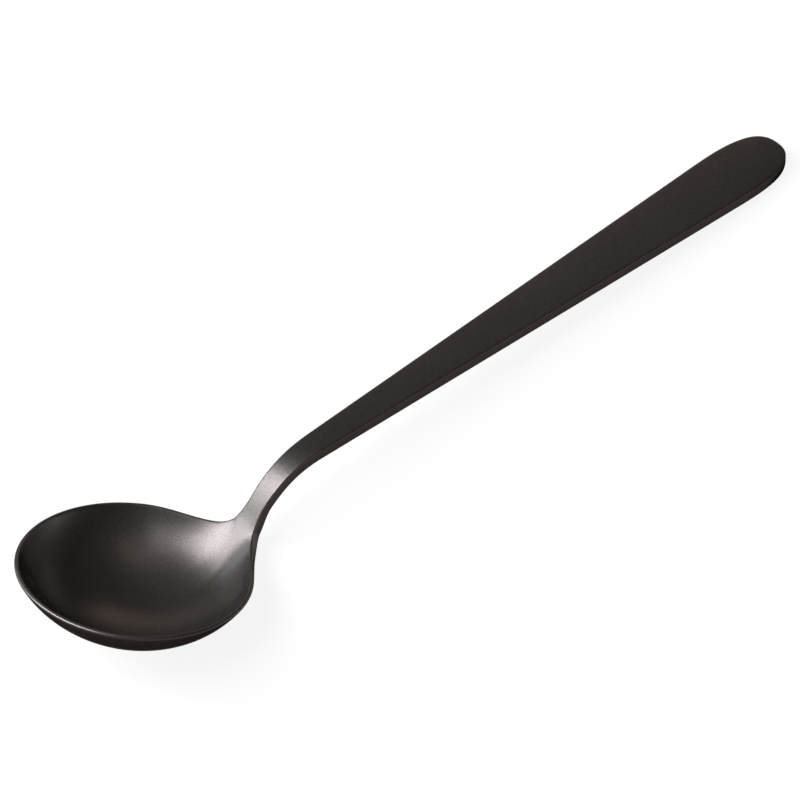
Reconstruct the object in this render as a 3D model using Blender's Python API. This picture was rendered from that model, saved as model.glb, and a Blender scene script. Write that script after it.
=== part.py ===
"""Cupping spoon: a round, deep bowl butt-welded at its neck to a flat, tapering handle.

Lengths are metres. The spoon is drawn with its handle level along +X and the centre of the
bowl's rim at the origin, then leaned back until the bowl and the handle's end both touch the
table at z = 0.
"""
import math

import bmesh
import bpy
from mathutils import Matrix, Vector

MM = 0.001

# Bowl: an elliptical rim over a round hollow
BOWL_LENGTH = 42.9 * MM
BOWL_WIDTH = 41.4 * MM
BOWL_DEPTH = 11.17 * MM
BOTTOM_SHIFT = 1.13 * MM          # deepest place, from the rim's centre towards the root
BOWL_WALL = 0.87 * MM
BOWL_ARC = math.radians(65.5)     # arc that the hollow's profile turns through, bottom to rim
RIM_TILT = math.radians(17.15)    # from the rim's plane to the handle's line, tip upwards

# Root: where the rim is drawn out and up into the neck
ROOT_DRAW = 3.57 * MM             # past the end of the hollow's ellipse
ROOT_LIFT = 0.735 * MM            # above the rim's plane
ROOT_WIDTH = 5.72 * MM
ROOT_THICKNESS = 2.54 * MM
THICKEN_REACH = 6.05 * MM         # how far into the bowl the wall is thickened
EASE_REACH = 7.4 * MM             # how far from the root the surface is relaxed
EASE_PULL = 0.2                   # share of the way that each pass goes
FILLET_OFFSET = 13.3 * MM         # from the spoon's middle to where the rim starts to turn

# Neck: narrows, climbs and bends over into the handle
NECK_WIDTH = 4.04 * MM
NECK_THICKNESS = 1.95 * MM
NECK_FLARE = 3.79 * MM            # from the root to where its flare ends
NECK_RUN = 17.75 * MM             # from the root to the straight handle
HANDLE_RISE = 2.243 * MM          # top of the handle over the centre of the rim's inner edge

# Handle: a flat strip that widens to a rounded end
HANDLE_LENGTH = 109.8 * MM
HANDLE_THICKNESS = 2.4 * MM
HANDLE_CROWN = 0.3 * MM
END_WIDTH = 13.9 * MM             # of the taper, if its end were square
END_ROUND = 15.4 * MM
END_POWER = 2.76                  # 2 is an ellipse, more is squarer

EDGE_ROUND = 0.35 * MM
WELD_GAP = 0.3 * MM

# Facets
RIM_STEPS = 28
FILLET_STEPS = 6
HALF_COLUMNS = 4
BOWL_RINGS = 12
ROOT_ROWS = 9
BEND_ROWS = 14
STRAIGHT_ROWS = 12
END_ROWS = 10
EDGE_STEPS = 3
EASE_PASSES = 60

COATED_BLACK = (0.021, 0.019, 0.018, 1.0)

# The hollow's edge lies inside the rim's outer edge by the wall, which leans outwards
RIM_SLOPE = math.atan(BOWL_DEPTH / (BOWL_WIDTH / 2) * (1 + 1 / math.cos(BOWL_ARC)))
OVERHANG = BOWL_WALL * math.sin(RIM_SLOPE)
HALF_LENGTH = BOWL_LENGTH / 2 - OVERHANG
HALF_WIDTH = BOWL_WIDTH / 2 - OVERHANG
RIM = Matrix.Rotation(RIM_TILT, 4, 'Y')
ROOT_REACH = HALF_LENGTH + ROOT_DRAW
ROOT = RIM @ Vector((ROOT_REACH, 0, ROOT_LIFT))
# The neck leaves the root along the slope of the bowl's back wall
WALL_SLOPE = (BOWL_DEPTH + ROOT_LIFT) / ROOT_REACH * (1 + 1 / math.cos(BOWL_ARC))
ROOT_ANGLE = math.atan(WALL_SLOPE) - RIM_TILT
STRAIGHT = Vector((ROOT.x + NECK_RUN, 0, HANDLE_RISE))
END_X = STRAIGHT.x + HANDLE_LENGTH
FLARE_X = ROOT.x + NECK_FLARE
COLUMNS = [i / HALF_COLUMNS for i in range(-HALF_COLUMNS, HALF_COLUMNS + 1)]


def solve(f, low, high):
    """Return where f crosses zero between low and high."""
    rising = f(high) > f(low)
    for _ in range(50):
        middle = (low + high) / 2
        if (f(middle) > 0) == rising:
            high = middle
        else:
            low = middle
    return (low + high) / 2


def bezier(points, t):
    """Return the point and the direction at t on a cubic Bezier curve."""
    a, b, c, d = points
    s = 1 - t
    point = a * s**3 + b * (3 * s * s * t) + c * (3 * s * t * t) + d * t**3
    direction = (b - a) * (3 * s * s) + (c - b) * (6 * s * t) + (d - c) * (3 * t * t)
    return point, direction


def neck(t):
    """Return the point and the direction of the neck's top at t, from root to straight handle."""
    climb = Vector((math.cos(ROOT_ANGLE), 0, math.sin(ROOT_ANGLE)))
    level = Vector((1, 0, 0))
    curve = (ROOT, ROOT + climb * (0.317 * NECK_RUN), STRAIGHT - level * (0.552 * NECK_RUN), STRAIGHT)
    return bezier(curve, t)


def taper(x):
    """Half the width of the handle's straight-sided strip at x."""
    share = (x - FLARE_X) / (END_X - FLARE_X)
    return (NECK_WIDTH + (END_WIDTH - NECK_WIDTH) * share) / 2


def half_width(x):
    """Half the width at x, with the root's flare at one end and the rounding at the other."""
    in_flare = max(0, 1 - (x - ROOT.x) / NECK_FLARE)
    width = taper(x) + (ROOT_WIDTH / 2 - taper(ROOT.x)) * in_flare**2
    in_round = max(0, 1 - (END_X - x) / END_ROUND)
    return width * max(0, 1 - in_round**END_POWER) ** (1 / END_POWER)


def upright(direction):
    """Return the top's normal for a direction in the spoon's middle plane."""
    return Vector((-direction.z, 0, direction.x)).normalized()


def half_outline():
    """Return the rim from the bowl's tip round to the root's corner, in the rim's frame."""
    leave = math.asin(FILLET_OFFSET / HALF_WIDTH)
    points = []
    for i in range(RIM_STEPS + 1):
        angle = math.pi + (leave - math.pi) * i / RIM_STEPS
        points.append(Vector((HALF_LENGTH * math.cos(angle), HALF_WIDTH * math.sin(angle), 0)))
    along_rim = Vector((HALF_LENGTH * math.sin(leave), -HALF_WIDTH * math.cos(leave), 0)).normalized()
    corner = Vector((ROOT_REACH, ROOT_WIDTH / 2, ROOT_LIFT))
    narrowing = taper(ROOT.x) - ROOT_WIDTH / 2
    run = math.cos(ROOT_ANGLE)
    edge = Vector((run, 2 * narrowing / NECK_FLARE * run, math.sin(ROOT_ANGLE)))
    up_neck = (RIM.inverted() @ edge).normalized()
    reach = (corner - points[-1]).length
    curve = (points[-1], points[-1] + along_rim * (0.296 * reach), corner - up_neck * (0.221 * reach), corner)
    points += [bezier(curve, i / FILLET_STEPS)[0] for i in range(1, FILLET_STEPS + 1)]
    return points


def mesh_object(name, bm):
    """Turn a bmesh into a smooth-shaded object with the spoon's black coating."""
    mesh = bpy.data.meshes.new(name)
    bm.to_mesh(mesh)
    bm.free()
    mesh.shade_smooth()
    mesh.set_sharp_from_angle(angle=math.radians(40))
    material = bpy.data.materials.new(name + "_coat")
    material.use_nodes = True
    shader = material.node_tree.nodes["Principled BSDF"]
    shader.inputs["Base Color"].default_value = COATED_BLACK
    shader.inputs["Roughness"].default_value = 0.45
    shader.inputs["Metallic"].default_value = 0.0
    mesh.materials.append(material)
    piece = bpy.data.objects.new(name, mesh)
    bpy.context.scene.collection.objects.link(piece)
    return piece


def strip(bm, rows):
    """Fill the quads between neighbouring rows of vertices."""
    for near, far in zip(rows, rows[1:]):
        for i in range(len(near) - 1):
            bm.faces.new((near[i], far[i], far[i + 1], near[i + 1]))


def ease(bm, centre):
    """Relax a sheet inside its border around a point, so that bowl and neck flow together."""
    inner = [v for v in bm.verts if not v.is_boundary]
    pull = {v: EASE_PULL * math.exp(-((v.co - centre).length / EASE_REACH) ** 2) for v in inner}
    for _ in range(EASE_PASSES):
        places = {}
        for v in inner:
            around = [edge.other_vert(v).co for edge in v.link_edges]
            places[v] = v.co.lerp(sum(around, Vector()) / len(around), pull[v])
        for v, place in places.items():
            v.co = place


def close_edges(bm, top, bottom_of, weld_row):
    """Join a top sheet to its copy below, then round every edge but those of the weld."""
    border = [e for e in bm.edges if len(e.link_faces) == 1 and e.verts[0] in top]
    welded = set(weld_row)
    rounded = []
    for edge in border:
        a, b = edge.verts
        wall = bm.faces.new((a, b, bottom_of[b], bottom_of[a]))
        if not (a in welded and b in welded):
            low = next(e for e in wall.edges if set(e.verts) == {bottom_of[a], bottom_of[b]})
            rounded += [edge, low]
    bmesh.ops.recalc_face_normals(bm, faces=bm.faces)
    bmesh.ops.bevel(bm, geom=rounded, offset=EDGE_ROUND, offset_type='OFFSET', segments=EDGE_STEPS,
                    profile=0.5, affect='EDGES', clamp_overlap=True)


def make_bowl(weld):
    """Model the bowl with the root of its neck, up to the weld at that place on the neck."""
    bm = bmesh.new()
    side = half_outline()
    root_row = [Vector((ROOT_REACH, -v * ROOT_WIDTH / 2, ROOT_LIFT)) for v in COLUMNS[1:-1]]
    mirrored = [Vector((p.x, -p.y, p.z)) for p in reversed(side[1:])]
    outline = side + root_row + mirrored
    first = len(side) - 1

    middle = bm.verts.new(RIM @ Vector((BOTTOM_SHIFT, 0, -BOWL_DEPTH)))
    rings = []
    for i in range(1, BOWL_RINGS + 1):
        t = math.sin(BOWL_ARC * i / BOWL_RINGS) / math.sin(BOWL_ARC)
        climb = (1 - math.sqrt(1 - (t * math.sin(BOWL_ARC)) ** 2)) / (1 - math.cos(BOWL_ARC))
        shift = BOTTOM_SHIFT * (1 - t * t)
        ring = []
        for p in outline:
            # Inner rings are ellipses, and only the outer ones are drawn out towards the root
            drawn = math.hypot(p.x / HALF_LENGTH, p.y / HALF_WIDTH)
            out = t * (1 + (drawn - 1) * t) / drawn
            height = (BOWL_DEPTH + p.z * t) * climb - BOWL_DEPTH
            ring.append(bm.verts.new(RIM @ Vector((p.x * out + shift, p.y * out, height))))
        rings.append(ring)
    loops = [ring + ring[:1] for ring in rings]
    for a, b in zip(loops[0], loops[0][1:]):
        bm.faces.new((middle, b, a))
    strip(bm, loops)

    rows = [rings[-1][first:first + len(COLUMNS)]]
    for i in range(1, ROOT_ROWS + 1):
        point, _ = neck(weld * i / ROOT_ROWS)
        width = half_width(point.x)
        rows.append([bm.verts.new(point + Vector((0, -v * width, 0))) for v in COLUMNS])
    strip(bm, rows)
    ease(bm, ROOT)
    bmesh.ops.recalc_face_normals(bm, faces=bm.faces)
    bm.normal_update()
    if middle.normal.z < 0:
        bmesh.ops.reverse_faces(bm, faces=bm.faces)
        bm.normal_update()

    # The wall thickens towards the root, and thins again up to the end of its flare
    depth = {}
    for ring in [[middle]] + rings:
        for v in ring:
            near = math.exp(-((v.co - ROOT).length / THICKEN_REACH) ** 2)
            depth[v] = BOWL_WALL + (ROOT_THICKNESS - BOWL_WALL) * near
    for i, row in enumerate(rows):
        for v in row:
            start = depth.get(v, ROOT_THICKNESS) if i == 0 else ROOT_THICKNESS
            depth[v] = start + (NECK_THICKNESS - ROOT_THICKNESS) * i / ROOT_ROWS
    faces = list(bm.faces)
    below = {v: bm.verts.new(v.co - v.normal * d) for v, d in depth.items()}
    for face in faces:
        bm.faces.new([below[v] for v in reversed(face.verts)])
    close_edges(bm, set(depth), below, rows[-1])
    return mesh_object("bowl", bm)


def make_handle(weld):
    """Model the handle from the weld, over the bend and along to its rounded end."""
    round_x = END_X - END_ROUND
    corner_x = END_X - 0.16 * END_ROUND
    corner = half_width(corner_x)

    def end_at(y):
        return solve(lambda x: half_width(x) - abs(y), corner_x, END_X) if abs(y) < corner else corner_x

    stations = []
    for i in range(BEND_ROWS):
        point, direction = neck(weld + (1 - weld) * i / BEND_ROWS)
        stations.append((point, upright(direction), 0))
    for i in range(STRAIGHT_ROWS):
        x = STRAIGHT.x + (round_x - STRAIGHT.x) * i / STRAIGHT_ROWS
        stations.append((Vector((x, 0, HANDLE_RISE)), Vector((0, 0, 1)), 0))
    for i in range(END_ROWS + 1):
        share = i / END_ROWS
        x = round_x + (corner_x - round_x) * share
        stations.append((Vector((x, 0, HANDLE_RISE)), Vector((0, 0, 1)), share**2))

    bm = bmesh.new()
    tops, lows = [], []
    for point, normal, bow in stations:
        width = half_width(point.x)
        bent = min(1, (point.x - ROOT.x) / NECK_RUN)
        crown = HANDLE_CROWN * bent * width / (END_WIDTH / 2)
        in_bend = min(1, (point.x - FLARE_X) / (STRAIGHT.x - FLARE_X))
        thickness = NECK_THICKNESS + (HANDLE_THICKNESS - NECK_THICKNESS) * in_bend
        top, low = [], []
        for v in COLUMNS:
            y = -v * width
            place = point + Vector((bow * (end_at(-v * corner) - corner_x), y, 0))
            top.append(bm.verts.new(place + normal * (crown * (1 - v * v))))
            low.append(bm.verts.new(place - normal * thickness))
        tops.append(top)
        lows.append(low)
    strip(bm, tops)
    strip(bm, [row[::-1] for row in lows])
    sheet = {v for row in tops for v in row}
    below = {t: l for top, low in zip(tops, lows) for t, l in zip(top, low)}
    close_edges(bm, sheet, below, tops[0])
    return mesh_object("handle", bm)


def lowest(piece, lean):
    """Height of a piece's lowest point when the spoon is leaned back by an angle."""
    return min(v.co.z * math.cos(lean) - v.co.x * math.sin(lean) for v in piece.data.vertices)


def main():
    for old in list(bpy.data.objects):
        bpy.data.objects.remove(old, do_unlink=True)
    # The weld crosses the neck where the root's flare ends
    weld = solve(lambda t: neck(t)[0].x - FLARE_X, 0, 1)
    half_gap = WELD_GAP / 2 / neck(weld)[1].length
    bowl = make_bowl(weld - half_gap)
    handle = make_handle(weld + half_gap)

    lean = solve(lambda a: lowest(handle, a) - lowest(bowl, a), 0, math.radians(30))
    turn = Matrix.Rotation(lean, 4, 'Y')
    spread = [(turn @ v.co).x for piece in (bowl, handle) for v in piece.data.vertices]
    spoon = bpy.data.objects.new("spoon", None)
    bpy.context.scene.collection.objects.link(spoon)
    spoon.rotation_euler = (0, lean, 0)
    spoon.location = (-(min(spread) + max(spread)) / 2, 0, -min(lowest(bowl, lean), lowest(handle, lean)))
    for piece in (bowl, handle):
        piece.parent = spoon
    print(f"lean {math.degrees(lean):.3f} degrees, length {(max(spread) - min(spread)) / MM:.2f} mm")
    print("rim centre", [round(c / MM, 3) for c in spoon.location])


main()
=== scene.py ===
# %% [markdown]
# # A black cupping spoon
# Coffee tasters slurp from a spoon with a round, deep bowl. This one is a single sweep of coated
# steel: bowl, narrow neck and flat handle flow into each other with no seam. The fixed model holds
# the right sizes in coarse facets. This lesson lays one fine skin over it, gives the skin its satin
# coat, and lights it like a small product photograph.

import math

import bmesh
import bpy
from mathutils import Matrix, Vector


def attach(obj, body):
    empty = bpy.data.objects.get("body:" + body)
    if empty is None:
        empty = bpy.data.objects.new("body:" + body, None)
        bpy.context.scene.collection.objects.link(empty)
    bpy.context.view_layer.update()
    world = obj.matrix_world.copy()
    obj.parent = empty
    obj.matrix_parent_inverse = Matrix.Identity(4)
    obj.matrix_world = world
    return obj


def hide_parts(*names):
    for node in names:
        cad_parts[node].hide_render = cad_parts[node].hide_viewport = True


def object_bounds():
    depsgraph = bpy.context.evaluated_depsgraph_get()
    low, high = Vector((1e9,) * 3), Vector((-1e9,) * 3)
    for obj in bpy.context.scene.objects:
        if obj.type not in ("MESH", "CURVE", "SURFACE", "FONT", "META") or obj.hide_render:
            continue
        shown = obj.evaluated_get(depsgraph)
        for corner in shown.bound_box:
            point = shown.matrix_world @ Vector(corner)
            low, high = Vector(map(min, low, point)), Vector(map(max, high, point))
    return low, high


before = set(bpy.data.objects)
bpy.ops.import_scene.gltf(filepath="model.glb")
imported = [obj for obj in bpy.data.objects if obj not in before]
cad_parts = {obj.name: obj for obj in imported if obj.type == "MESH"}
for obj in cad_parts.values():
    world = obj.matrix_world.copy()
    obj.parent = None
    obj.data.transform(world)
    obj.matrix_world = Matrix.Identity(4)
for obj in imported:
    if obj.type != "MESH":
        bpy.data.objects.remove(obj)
cad_low, cad_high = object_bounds()
box = [round(side * 1000, 1) for side in cad_high - cad_low]
print("fixed model:", sorted(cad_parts), "box", box, "mm")

# %% [markdown]
# ## Sizes
# The skin has to lie where the solids lie, so it starts from the same sizes. The spoon is drawn with
# its handle level along +X and the middle of the bowl's rim at the origin. At the end it is leaned
# back until the bowl and the end of the handle rest on the table.

# %% The spoon's sizes
MM = 0.001
BOWL_LENGTH = 42.9 * MM
BOWL_WIDTH = 41.4 * MM
BOWL_DEPTH = 11.17 * MM
BOTTOM_SHIFT = 1.13 * MM
BOWL_WALL = 0.87 * MM
BOWL_ARC = math.radians(65.5)
RIM_TILT = math.radians(17.15)
ROOT_DRAW = 3.57 * MM
ROOT_LIFT = 0.735 * MM
ROOT_WIDTH = 5.72 * MM
ROOT_THICKNESS = 2.54 * MM
THICKEN_REACH = 6.05 * MM
EASE_REACH = 7.4 * MM
EASE_PULL = 0.2
FILLET_OFFSET = 13.3 * MM
FILLET_RIM_PULL = 0.296
FILLET_ROOT_PULL = 0.221
NECK_WIDTH = 4.04 * MM
NECK_THICKNESS = 1.95 * MM
NECK_FLARE = 3.79 * MM
NECK_RUN = 17.75 * MM
NECK_ROOT_PULL = 0.317
NECK_TOP_PULL = 0.552
HANDLE_RISE = 2.243 * MM
HANDLE_LENGTH = 109.8 * MM
HANDLE_THICKNESS = 2.4 * MM
HANDLE_CROWN = 0.3 * MM
END_WIDTH = 13.9 * MM
END_ROUND = 15.4 * MM
END_POWER = 2.76
EDGE_ROUND = 0.35 * MM
LEAN = math.radians(5.196)
RIM_CENTRE = Vector((-65.301, 0, 13.795)) * MM

RIM_SLOPE = math.atan(BOWL_DEPTH / (BOWL_WIDTH / 2) * (1 + 1 / math.cos(BOWL_ARC)))
OVERHANG = BOWL_WALL * math.sin(RIM_SLOPE)
HALF_LENGTH = BOWL_LENGTH / 2 - OVERHANG
HALF_WIDTH = BOWL_WIDTH / 2 - OVERHANG
RIM = Matrix.Rotation(RIM_TILT, 4, 'Y')
ROOT_REACH = HALF_LENGTH + ROOT_DRAW
ROOT = RIM @ Vector((ROOT_REACH, 0, ROOT_LIFT))
WALL_SLOPE = (BOWL_DEPTH + ROOT_LIFT) / ROOT_REACH * (1 + 1 / math.cos(BOWL_ARC))
ROOT_ANGLE = math.atan(WALL_SLOPE) - RIM_TILT
STRAIGHT = Vector((ROOT.x + NECK_RUN, 0, HANDLE_RISE))
END_X = STRAIGHT.x + HANDLE_LENGTH
FLARE_X = ROOT.x + NECK_FLARE
print(f"bowl {BOWL_LENGTH / MM:.1f} x {BOWL_WIDTH / MM:.1f} mm,",
      f"neck climbs at {math.degrees(ROOT_ANGLE):.0f} degrees")

# %% [markdown]
# ## Curves
# Three curves decide how the spoon looks: the outline of the rim, which leaves its ellipse and turns
# into the neck, the side view of the neck, which climbs out of the bowl and bends over, and the
# handle's width. Cubic Bezier curves are what one would draw by hand, and a formula keeps both sides
# of the spoon alike.

# %% Curves of the rim, the neck and the handle
RIM_STEPS = 28
FILLET_STEPS = 6
HALF_COLUMNS = 4
COLUMNS = [i / HALF_COLUMNS for i in range(-HALF_COLUMNS, HALF_COLUMNS + 1)]
HALVINGS = 50


def solve(f, low, high):
    """Return where f crosses zero between low and high."""
    rising = f(high) > f(low)
    for _ in range(HALVINGS):
        middle = (low + high) / 2
        if (f(middle) > 0) == rising:
            high = middle
        else:
            low = middle
    return (low + high) / 2


def bezier(points, t):
    """Return the point and the direction at t on a cubic Bezier curve."""
    a, b, c, d = points
    s = 1 - t
    point = a * s**3 + b * (3 * s * s * t) + c * (3 * s * t * t) + d * t**3
    direction = (b - a) * (3 * s * s) + (c - b) * (6 * s * t) + (d - c) * (3 * t * t)
    return point, direction


def neck(t):
    """Return the point and the direction of the neck's top, from the root to the straight handle."""
    climb = Vector((math.cos(ROOT_ANGLE), 0, math.sin(ROOT_ANGLE)))
    level = Vector((1, 0, 0))
    leaving = climb * (NECK_ROOT_PULL * NECK_RUN)
    arriving = level * (NECK_TOP_PULL * NECK_RUN)
    return bezier((ROOT, ROOT + leaving, STRAIGHT - arriving, STRAIGHT), t)


def taper(x):
    """Half the width of the straight-sided strip at x."""
    return (NECK_WIDTH + (END_WIDTH - NECK_WIDTH) * (x - FLARE_X) / (END_X - FLARE_X)) / 2


def half_width(x):
    """Half the width at x, with the root's flare at one end and the rounding at the other."""
    in_flare = max(0, 1 - (x - ROOT.x) / NECK_FLARE)
    in_round = max(0, 1 - (END_X - x) / END_ROUND)
    width = taper(x) + (ROOT_WIDTH / 2 - taper(ROOT.x)) * in_flare**2
    return width * max(0, 1 - in_round**END_POWER) ** (1 / END_POWER)


def rim_outline():
    """Return the rim in its own plane, from the bowl's tip round over +Y and back over -Y."""
    leave = math.asin(FILLET_OFFSET / HALF_WIDTH)
    side = []
    for i in range(RIM_STEPS + 1):
        angle = math.pi + (leave - math.pi) * i / RIM_STEPS
        side.append(Vector((HALF_LENGTH * math.cos(angle), HALF_WIDTH * math.sin(angle), 0)))
    along_rim = Vector((HALF_LENGTH * math.sin(leave), -HALF_WIDTH * math.cos(leave), 0)).normalized()
    corner = Vector((ROOT_REACH, ROOT_WIDTH / 2, ROOT_LIFT))
    narrowing = 2 * (taper(ROOT.x) - ROOT_WIDTH / 2) / NECK_FLARE
    run = math.cos(ROOT_ANGLE)
    up_neck = (RIM.inverted() @ Vector((run, narrowing * run, math.sin(ROOT_ANGLE)))).normalized()
    reach = (corner - side[-1]).length
    leaving = along_rim * (FILLET_RIM_PULL * reach)
    arriving = up_neck * (FILLET_ROOT_PULL * reach)
    curve = (side[-1], side[-1] + leaving, corner - arriving, corner)
    side += [bezier(curve, i / FILLET_STEPS)[0] for i in range(1, FILLET_STEPS + 1)]
    across = [Vector((ROOT_REACH, -v * ROOT_WIDTH / 2, ROOT_LIFT)) for v in COLUMNS[1:-1]]
    return side + across + [Vector((p.x, -p.y, p.z)) for p in reversed(side[1:])]


outline = rim_outline()
ROOT_START = RIM_STEPS + FILLET_STEPS
print("rim of", len(outline), "points, the root starts at point", ROOT_START)

# %% [markdown]
# ## The bowl's hollow
# The hollow could be a piece of a sphere, but then the neck would have to be stuck on. Here it grows
# ring by ring: a small disc at the bottom is extruded outwards again and again, and each new ring is
# put on the bowl's curve. The inner rings are ellipses, and only the outer ones are drawn out
# towards the root, so that no ridge runs through the bowl.

# %% Extrude the hollow, ring by ring
BOWL_RINGS = 12
SEED_RADIUS = 1 * MM
ANGLE_SLACK = 0.001


def edit_mesh():
    """Return the spoon's mesh in edit mode, with its vertices numbered."""
    bm = bmesh.from_edit_mesh(spoon.data)
    bm.verts.index_update()
    bm.verts.ensure_lookup_table()
    return bm


def put(order, points):
    """Put vertices, given by their numbers, on points."""
    bm = edit_mesh()
    for number, point in zip(order, points):
        bm.verts[number].co = point
    bmesh.update_edit_mesh(spoon.data)


def extrude(order):
    """Extrude the selected edges and return the new vertices in the order of the old ones."""
    bpy.ops.mesh.extrude_edges_move()
    bm = edit_mesh()
    made = []
    for number in order:
        vert = bm.verts[number]
        made.append(next(e.other_vert(vert).index for e in vert.link_edges if e.other_vert(vert).select))
    return made


def bowl_ring(t):
    """Return the ring of the hollow at t, from 0 at the bottom to 1 at the rim."""
    climb = (1 - math.sqrt(1 - (t * math.sin(BOWL_ARC)) ** 2)) / (1 - math.cos(BOWL_ARC))
    shift = BOTTOM_SHIFT * (1 - t * t)
    ring = []
    for p in outline:
        drawn = math.hypot(p.x / HALF_LENGTH, p.y / HALF_WIDTH)
        out = t * (1 + (drawn - 1) * t) / drawn
        height = (BOWL_DEPTH + p.z * t) * climb - BOWL_DEPTH
        ring.append(RIM @ Vector((p.x * out + shift, p.y * out, height)))
    return ring


bpy.ops.object.select_all(action='DESELECT')
bpy.ops.mesh.primitive_circle_add(vertices=len(outline), radius=SEED_RADIUS, fill_type='TRIFAN')
spoon = bpy.context.object
spoon.name = "spoon"
bpy.ops.object.mode_set(mode='EDIT')
bpy.ops.mesh.select_mode(type='EDGE')
bm = edit_mesh()
middle = min(bm.verts, key=lambda v: v.co.length)
around = [v for v in bm.verts if v != middle]
around.sort(key=lambda v: (math.pi + ANGLE_SLACK - math.atan2(v.co.y, v.co.x)) % math.tau)
ring = [v.index for v in around]
put([middle.index], [RIM @ Vector((BOTTOM_SHIFT, 0, -BOWL_DEPTH))])
bpy.ops.mesh.select_all(action='DESELECT')
bm = edit_mesh()
for edge in bm.edges:
    edge.select = all(v.index in ring for v in edge.verts)
bmesh.update_edit_mesh(spoon.data)
for i in range(1, BOWL_RINGS + 1):
    if i > 1:
        ring = extrude(ring)
    put(ring, bowl_ring(math.sin(BOWL_ARC * i / BOWL_RINGS) / math.sin(BOWL_ARC)))
print("hollow:", len(spoon.data.vertices), "vertices")

# %% [markdown]
# ## The neck and the handle
# On the real spoon the blank is drawn out of the bowl into a narrow neck, bent, and rolled flat and
# wide towards its end. The same is done here: the few edges of the rim at the root are extruded row
# by row, up the neck's curve, over the bend and along the handle. Rows near the end are bowed, so
# that the last one lies on the rounded end.

# %% Extrude the neck and the handle, row by row
ROOT_ROWS = 9
BEND_ROWS = 14
STRAIGHT_ROWS = 12
END_ROWS = 10
CORNER_SHARE = 0.16
ROUND_X = END_X - END_ROUND
CORNER_X = END_X - CORNER_SHARE * END_ROUND
CORNER = half_width(CORNER_X)


def end_at(y):
    """Return where the rounded end lies at y."""
    return solve(lambda x: half_width(x) - abs(y), CORNER_X, END_X) if abs(y) < CORNER else CORNER_X


def crown_at(x):
    """Height of the middle of the top over its edges at x."""
    fade = min(1, max(0, (x - ROOT.x) / NECK_RUN))
    return HANDLE_CROWN * fade * half_width(x) / (END_WIDTH / 2)


def strip_row(point, direction, bow=0.0):
    """Return one row across the strip at a point of its spine."""
    up = Vector((-direction.z, 0, direction.x)).normalized()
    width = half_width(point.x)
    row = []
    for v in COLUMNS:
        shift = bow * (end_at(v * CORNER) - CORNER_X)
        row.append(point + Vector((shift, -v * width, 0)) + up * (crown_at(point.x) * (1 - v * v)))
    return row


along = Vector((1, 0, 0))
flare = solve(lambda t: neck(t)[0].x - FLARE_X, 0, 1)
rows = [strip_row(*neck(flare * i / ROOT_ROWS)) for i in range(1, ROOT_ROWS + 1)]
rows += [strip_row(*neck(flare + (1 - flare) * i / BEND_ROWS)) for i in range(1, BEND_ROWS)]
for i in range(STRAIGHT_ROWS):
    x = STRAIGHT.x + (ROUND_X - STRAIGHT.x) * i / STRAIGHT_ROWS
    rows.append(strip_row(Vector((x, 0, HANDLE_RISE)), along))
for i in range(END_ROWS + 1):
    near_end = i / END_ROWS
    x = ROUND_X + (CORNER_X - ROUND_X) * near_end
    rows.append(strip_row(Vector((x, 0, HANDLE_RISE)), along, near_end**2))

row = ring[ROOT_START:ROOT_START + len(COLUMNS)]
bpy.ops.mesh.select_all(action='DESELECT')
bm = edit_mesh()
for a, b in zip(row, row[1:]):
    bm.edges.get((bm.verts[a], bm.verts[b])).select = True
bmesh.update_edit_mesh(spoon.data)
row_of = {number: 0 for number in row}
for i, points in enumerate(rows, 1):
    row = extrude(row)
    put(row, points)
    row_of.update({number: i for number in row})
bpy.ops.mesh.select_all(action='SELECT')
bpy.ops.mesh.normals_make_consistent(inside=False)
bm = edit_mesh()
if bm.verts[row[HALF_COLUMNS]].normal.z < 0:
    bpy.ops.mesh.flip_normals()
bpy.ops.object.mode_set(mode='OBJECT')
print("sheet:", len(spoon.data.polygons), "faces in", len(rows), "rows past the bowl")

# %% [markdown]
# ## Easing the passage from bowl to neck
# A pressed sheet has no crease where the bowl's back wall runs up into the neck. The sheet is
# relaxed there with a Smooth modifier, which a vertex group holds to the inner vertices around the
# root. Then Solidify gives the sheet its thickness below: thin at the rim, thicker at the root, and
# the full strip along the handle. A Bevel rounds the edges, and Subdivision Surface makes the fine
# skin.

# %% Ease, thicken, round and subdivide
EASE_PASSES = 60
EDGE_SEGMENTS = 3
EDGE_ANGLE = math.radians(50)
FINE_LEVELS = 2
THICKEST = max(ROOT_THICKNESS, HANDLE_THICKNESS + HANDLE_CROWN)


def modify(kind, **settings):
    """Add a modifier to the spoon and apply it."""
    modifier = spoon.modifiers.new(kind.title(), kind)
    for name, value in settings.items():
        setattr(modifier, name, value)
    bpy.ops.object.modifier_apply(modifier=modifier.name)


def weigh(name, weight_of):
    """Make a vertex group whose weight comes from a function of the vertex."""
    group = spoon.vertex_groups.new(name=name)
    for vert in spoon.data.vertices:
        group.add([vert.index], weight_of(vert), 'REPLACE')
    return group.name


def near_root(vert, reach):
    """How near a vertex is to the root, from 0 far away to 1 at the root."""
    return math.exp(-((vert.co - ROOT).length / reach) ** 2)


def thickness(vert):
    """Thickness of the steel under a vertex of the sheet."""
    line = row_of.get(vert.index, 0)
    if line > ROOT_ROWS:
        side = vert.co.y / half_width(vert.co.x) if vert.co.x < CORNER_X else 1
        in_bend = min(1, (vert.co.x - FLARE_X) / (STRAIGHT.x - FLARE_X))
        strip = NECK_THICKNESS + (HANDLE_THICKNESS - NECK_THICKNESS) * in_bend
        return strip + crown_at(vert.co.x) * max(0, 1 - side * side)
    if line:
        return ROOT_THICKNESS + (NECK_THICKNESS - ROOT_THICKNESS) * line / ROOT_ROWS
    return BOWL_WALL + (ROOT_THICKNESS - BOWL_WALL) * near_root(vert, THICKEN_REACH)


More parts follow.
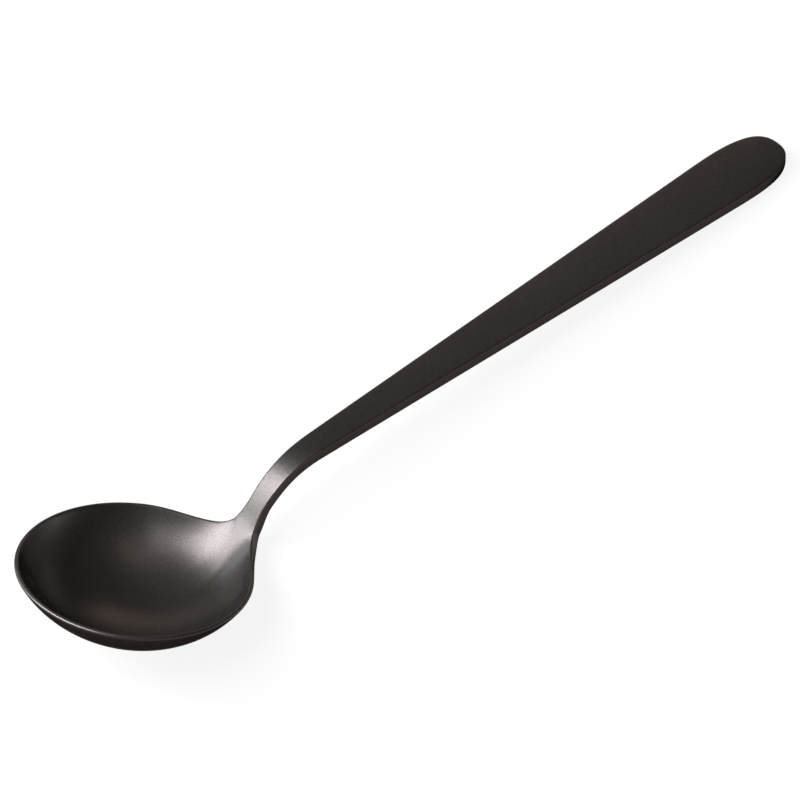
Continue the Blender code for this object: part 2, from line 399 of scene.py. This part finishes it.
bm = bmesh.new()
bm.from_mesh(spoon.data)
border = {v.index for v in bm.verts if v.is_boundary}
bm.free()
ease = weigh("ease", lambda v: 0 if v.index in border else near_root(v, EASE_REACH))
# The modifier pulls towards the middles of edges, which is half the way to the neighbours.
modify('SMOOTH', factor=2 * EASE_PULL, iterations=EASE_PASSES, vertex_group=ease)
steel = weigh("steel", lambda v: thickness(v) / THICKEST)
modify('SOLIDIFY', thickness=THICKEST, offset=-1, vertex_group=steel, thickness_vertex_group=0.0)
modify('BEVEL', width=EDGE_ROUND, segments=EDGE_SEGMENTS, limit_method='ANGLE', angle_limit=EDGE_ANGLE)
modify('SUBSURF', levels=FINE_LEVELS, render_levels=FINE_LEVELS)
spoon.vertex_groups.clear()
bpy.ops.object.shade_smooth()
print("skin:", sum(len(p.vertices) - 2 for p in spoon.data.polygons), "triangles")

# %% [markdown]
# ## Inside, and painted shade elsewhere
# The hollow and the top of the handle have a soft sheen. Over the back of the bowl, the strip's
# narrow sides and underside with their rounded edges, and the steep walls beside the bowl's tip,
# shade is painted into the coat: its tone is made darker there, and its roughness higher. The coat
# has to know which is which. A normal tells it: in the bowl, the inside looks towards a point above
# the hollow, and on the strip, the top looks up. The answer is kept on the mesh as an attribute.

# %% Mark the parts with painted shade and a rougher coat, then lean the spoon back on the table
# A pair of values is where a ramp begins and where it ends.
FOCUS_SHARE = 0.5
FOCUS_HEIGHT = 14 * MM
LOOKS_IN = (0.7, 0.85)
LOOKS_OUT = (-0.35, -0.65)
STEEP = (0.8, 0.55)
TIP_X = (-2 * MM, -8 * MM)
BESIDE_TIP = (5 * MM, 11 * MM)
# Share of painted shade on the steep walls beside the tip, where the bowl's own bright patch would be
# mirrored.
TIP_PAINTED_SHADE_DULL = 0.75
LOOKS_ASIDE = (0.4, 0.7)
LOOKS_DOWN = (0.5, 0.1)
HANDLE_X = (32 * MM, 42 * MM)
STRIP_X = (8 * MM, 26 * MM)


def ramp(value, span):
    """Return 0 where a span begins and 1 where it ends, with a straight line between."""
    start, end = span
    return min(1, max(0, (value - start) / (end - start)))


def painted_shade_dull_at(vert):
    """How much shade is painted into the coat at a vertex, with a rougher coat, from 0 on the top with
    its sheen to 1 where the painted shade is darkest.
    """
    focus = Vector((FOCUS_SHARE * vert.co.x, 0, FOCUS_HEIGHT))
    facing = vert.normal.dot((focus - vert.co).normalized())
    steep = ramp(vert.normal.z, STEEP) * ramp(facing, LOOKS_IN)
    beside_tip = ramp(vert.co.x, TIP_X) * ramp(abs(vert.co.y), BESIDE_TIP)
    # Painted shade on the bowl: its back is darkened so that it doesn't mirror the white floor, and the
    # walls beside the tip so that they don't mirror the bowl's own bright patch.
    on_bowl = max(ramp(facing, LOOKS_OUT), TIP_PAINTED_SHADE_DULL * beside_tip * steep)
    # Painted shade on the strip: its narrow sides, rounded edges and underside are darkened so that they
    # don't mirror the white floor.
    rounded = ramp(abs(vert.normal.y), LOOKS_ASIDE) * ramp(vert.co.x, HANDLE_X)
    on_strip = max(rounded, ramp(vert.normal.z, LOOKS_DOWN))
    return on_bowl + (on_strip - on_bowl) * ramp(vert.co.x, STRIP_X)


painted_shade_dull = spoon.data.attributes.new("painted_shade_dull", 'FLOAT', 'POINT')
for vert in spoon.data.vertices:
    painted_shade_dull.data[vert.index].value = painted_shade_dull_at(vert)
spoon.rotation_euler = (0, LEAN, 0)
spoon.location = RIM_CENTRE
bpy.ops.object.transform_apply(location=True, rotation=True, scale=True)
print("outside:", sum(d.value > 0.5 for d in spoon.data.attributes["painted_shade_dull"].data), "vertices")

# %% [markdown]
# ## The satin black coat
# The steel is bead-blasted and then coated with a thin black film, as by vapour deposition, so it
# mirrors like a dark metal, softly and with a fine grain. Paint would be a black diffuse colour with
# a clear gloss, but then the sheen would be white at flat angles too, and the photographed rim stays
# dark there. So the coat is almost a metal with a dark tint at flat angles. Noise at the size of the
# grain goes into the tone and a bump, a wide, faint noise makes tone and roughness uneven, and where
# the attribute marks the coat, shade is painted into the tone by darkening it, and the roughness rises.

# %% Shader maths as Python expressions


class Wire:
    """A value in a material. Arithmetic on it adds Math nodes."""

    def __init__(self, tree, socket=None):
        self.tree = tree
        self.socket = socket

    def node(self, kind, settings=None, values=None, out=0):
        """Add a node, set it up, fill or link its inputs, and return one of its outputs."""
        made = self.tree.nodes.new(kind)
        for name, value in (settings or {}).items():
            setattr(made, name, value)
        for name, value in (values or {}).items():
            if isinstance(value, Wire):
                self.tree.links.new(value.socket, made.inputs[name])
            else:
                made.inputs[name].default_value = value
        return Wire(self.tree, made.outputs[out])

    def noise(self, where, scale, detail):
        """Add a noise texture and return its grey value."""
        values = {"Vector": where, "Scale": scale, "Detail": detail}
        return self.node("ShaderNodeTexNoise", None, values, out="Fac")

    def mix(self, share, first, second):
        """Mix two colours, which a Mix node takes in inputs 6 and 7 and gives in output 2."""
        return self.node("ShaderNodeMix", {"data_type": 'RGBA'}, {0: share, 6: first, 7: second}, out=2)

    def math(self, operation, a, b):
        """Add a Math node and return its result."""
        return self.node("ShaderNodeMath", {"operation": operation}, {0: a, 1: b})

    def __add__(self, other):
        return self.math('ADD', self, other)

    def __sub__(self, other):
        return self.math('SUBTRACT', self, other)

    def __mul__(self, other):
        return self.math('MULTIPLY', self, other)

    __radd__ = __add__
    __rmul__ = __mul__


# %% The coat itself
COAT_DARK = (0.102, 0.098, 0.094, 1.0)
COAT_PALE = (0.187, 0.178, 0.173, 1.0)
# The darker tone that the attribute mixes in is painted shade.
COAT_PAINTED_SHADE = (0.044, 0.036, 0.033, 1.0)
PAINTED_SHADE_SHARE = 0.85
GRAIN_SCALE = 4200.0
GRAIN_DETAIL = 1.0
CLOUD_SCALE = 60.0
CLOUD_DETAIL = 3.0
GRAIN_TONE = 1.5
CLOUD_TONE = 0.3
TONE_OFFSET = 0.4
SHEEN_ROUGHNESS = 0.29
CLOUD_ROUGHNESS = 0.06
GRAIN_ROUGHNESS = 0.04
DULL_ROUGHNESS = 0.12
BUMP_STRENGTH = 0.35
BUMP_HEIGHT = 0.04 * MM
METAL_SHARE = 0.9
FLAT_ANGLE_TINT = (0.08, 0.08, 0.08, 1.0)

coat = bpy.data.materials.new("satin_black_coat")
coat.use_nodes = True
shader = coat.node_tree.nodes["Principled BSDF"]
wires = Wire(coat.node_tree)
where = wires.node("ShaderNodeTexCoord", out="Object")
painted_shade_dull_fac = wires.node("ShaderNodeAttribute", {"attribute_name": "painted_shade_dull"}, out="Fac")
cloud = wires.noise(where, CLOUD_SCALE, CLOUD_DETAIL)
grain = wires.noise(where, GRAIN_SCALE, GRAIN_DETAIL)
share = GRAIN_TONE * grain + CLOUD_TONE * cloud - TONE_OFFSET
# Painted shade: where the attribute marks the coat, its tone is mixed towards the darker colour.
tone = wires.mix(PAINTED_SHADE_SHARE * painted_shade_dull_fac, wires.mix(share, COAT_DARK, COAT_PALE), COAT_PAINTED_SHADE)
rough = SHEEN_ROUGHNESS + CLOUD_ROUGHNESS * cloud + GRAIN_ROUGHNESS * grain + DULL_ROUGHNESS * painted_shade_dull_fac
relief = {"Strength": BUMP_STRENGTH, "Distance": BUMP_HEIGHT, "Height": grain}
bump = wires.node("ShaderNodeBump", None, relief)
for name, wire in (("Base Color", tone), ("Roughness", rough), ("Normal", bump)):
    coat.node_tree.links.new(wire.socket, shader.inputs[name])
shader.inputs["Metallic"].default_value = METAL_SHARE
shader.inputs["Specular IOR Level"].default_value = 0.0
shader.inputs["Specular Tint"].default_value = FLAT_ANGLE_TINT
spoon.data.materials.clear()
spoon.data.materials.append(coat)
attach(spoon, "root")
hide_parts("bowl", "handle")
print("coat:", len(coat.node_tree.nodes), "nodes")

# %% [markdown]
# ## Floor and light
# A pale floor fills the picture. For the camera, and in reflections, most of its white is its own
# glow, so that the background stays even, and the rest is lit, so that it keeps a soft shadow. A long
# level light hangs over the bowl, a little to the left: it draws the bright patch in the bowl's back
# wall and the band over the bend of the neck. Weaker lights do the rest: a wing lengthens the band
# down the neck, a bluish one behind greys the wall beside the patch, a narrow one on the left draws
# the rim, and two warm ones give the hollow its faint red glow.

# %% Floor
FLOOR_SIZE = 4.0
FLOOR_GAP = 0.2 * MM
PAPER = (0.86, 0.86, 0.86, 1.0)
GLOW = (1.0, 1.0, 1.0, 1.0)
GLOW_STRENGTH = 1.05
GLOW_SHARE = 0.85

bpy.ops.mesh.primitive_plane_add(size=FLOOR_SIZE, location=(0, 0, -FLOOR_GAP))
floor = bpy.context.object
floor.name = "floor"
paper = bpy.data.materials.new("white_paper")
paper.use_nodes = True
tree = paper.node_tree
tree.nodes.clear()
wires = Wire(tree)
rays = tree.nodes.new("ShaderNodeLightPath").outputs
camera_ray = Wire(tree, rays["Is Camera Ray"])
glossy_ray = Wire(tree, rays["Is Glossy Ray"])
passing_ray = Wire(tree, rays["Is Transmission Ray"])
seen = wires.math('MAXIMUM', wires.math('MAXIMUM', camera_ray, glossy_ray), passing_ray)
lit = wires.node("ShaderNodeBsdfDiffuse", None, {"Color": PAPER})
glow = wires.node("ShaderNodeEmission", None, {"Color": GLOW, "Strength": GLOW_STRENGTH})
mixed = wires.node("ShaderNodeMixShader", None, {0: GLOW_SHARE * seen, 1: lit, 2: glow})
output = tree.nodes.new("ShaderNodeOutputMaterial")
tree.links.new(mixed.socket, output.inputs["Surface"])
floor.data.materials.append(paper)

# %% Light
BOWL_CENTRE = Vector((-60, 0, 10)) * MM
HANG_HEIGHT = 1.0
PINKISH = (1.0, 0.957, 0.988)
BLUISH = (0.86, 0.94, 1.0)
WARM = (1.0, 0.78, 0.66)
WORLD_COLOUR = (1.0, 0.88, 0.75, 1.0)
WORLD_STRENGTH = 0.04


def soft_light(name, offset, size, radiance, colour):
    """Hang a rectangular light at an offset from the bowl, facing it, its first side level."""
    data = bpy.data.lights.new(name, 'AREA')
    data.shape = 'RECTANGLE'
    data.size, data.size_y = size
    data.energy = radiance * math.pi * size[0] * size[1]
    data.color = colour
    lamp = bpy.data.objects.new(name, data)
    bpy.context.scene.collection.objects.link(lamp)
    away = Vector(offset).normalized()
    side = Vector((0, 0, 1)).cross(away).normalized()
    facing = Matrix((side, away.cross(side), away)).transposed().to_4x4()
    lamp.matrix_world = Matrix.Translation(BOWL_CENTRE + Vector(offset)) @ facing
    return lamp


def overhead(name, x, y, size, radiance, colour):
    """Hang a level light high above the bowl."""
    offset = Vector((x, y, HANG_HEIGHT))
    lamp = soft_light(name, offset, size, radiance, colour)
    lamp.matrix_world = Matrix.Translation(BOWL_CENTRE + offset)


overhead("key", x=-0.50, y=0.345, size=(0.50, 1.19), radiance=9.4, colour=PINKISH)
overhead("key_wing", x=-0.88, y=1.02, size=(0.4, 0.4), radiance=11.5, colour=PINKISH)
overhead("red_glow", x=0.28, y=-0.38, size=(0.36, 0.56), radiance=0.38, colour=WARM)
soft_light("back_left", offset=(-0.50, 1.0, 0.40), size=(1.2, 0.40), radiance=2.65, colour=BLUISH)
soft_light("left_edge", offset=(-0.92, 0.0, 0.80), size=(0.14, 0.4), radiance=7.0, colour=PINKISH)
soft_light("warm_fill", offset=(0.79, 0.90, 0.26), size=(1.1, 0.46), radiance=0.78, colour=WARM)
world = bpy.data.worlds.new("studio")
bpy.context.scene.world = world
world.use_nodes = True
background = world.node_tree.nodes["Background"]
background.inputs["Color"].default_value = WORLD_COLOUR
background.inputs["Strength"].default_value = WORLD_STRENGTH
bpy.context.scene.view_settings.view_transform = 'Standard'

# %% [markdown]
# ## Camera
# A long lens from far away, as for a catalogue picture, looking down from the side of the bowl. The
# picture was turned a little after it was taken, so the camera is rolled.

# %% Camera
AZIMUTH = math.radians(-30.2224)
ELEVATION = math.radians(46.4231)
ROLL = math.radians(-13.7035)
TARGET = Vector((-4.717, 1.198, 6.0)) * MM
DISTANCE = 1157.52 * MM
FOCAL_LENGTH = 292.5
SENSOR_WIDTH = 36.0
NEAREST = 0.05

level = Vector((math.cos(AZIMUTH), math.sin(AZIMUTH), 0))
front = Vector((math.sin(AZIMUTH), -math.cos(AZIMUTH), 0))
back = front * math.cos(ELEVATION) + Vector((0, 0, math.sin(ELEVATION)))
over = back.cross(level)
right = level * math.cos(ROLL) + over * math.sin(ROLL)
up = back.cross(right)
lens = bpy.data.cameras.new("camera")
lens.lens = FOCAL_LENGTH
lens.sensor_width = SENSOR_WIDTH
lens.clip_start = NEAREST
camera = bpy.data.objects.new("camera", lens)
bpy.context.scene.collection.objects.link(camera)
turned = Matrix((right, up, back)).transposed().to_4x4()
camera.matrix_world = Matrix.Translation(TARGET + back * DISTANCE) @ turned
bpy.context.scene.camera = camera
print("camera at", [round(c, 3) for c in camera.location])
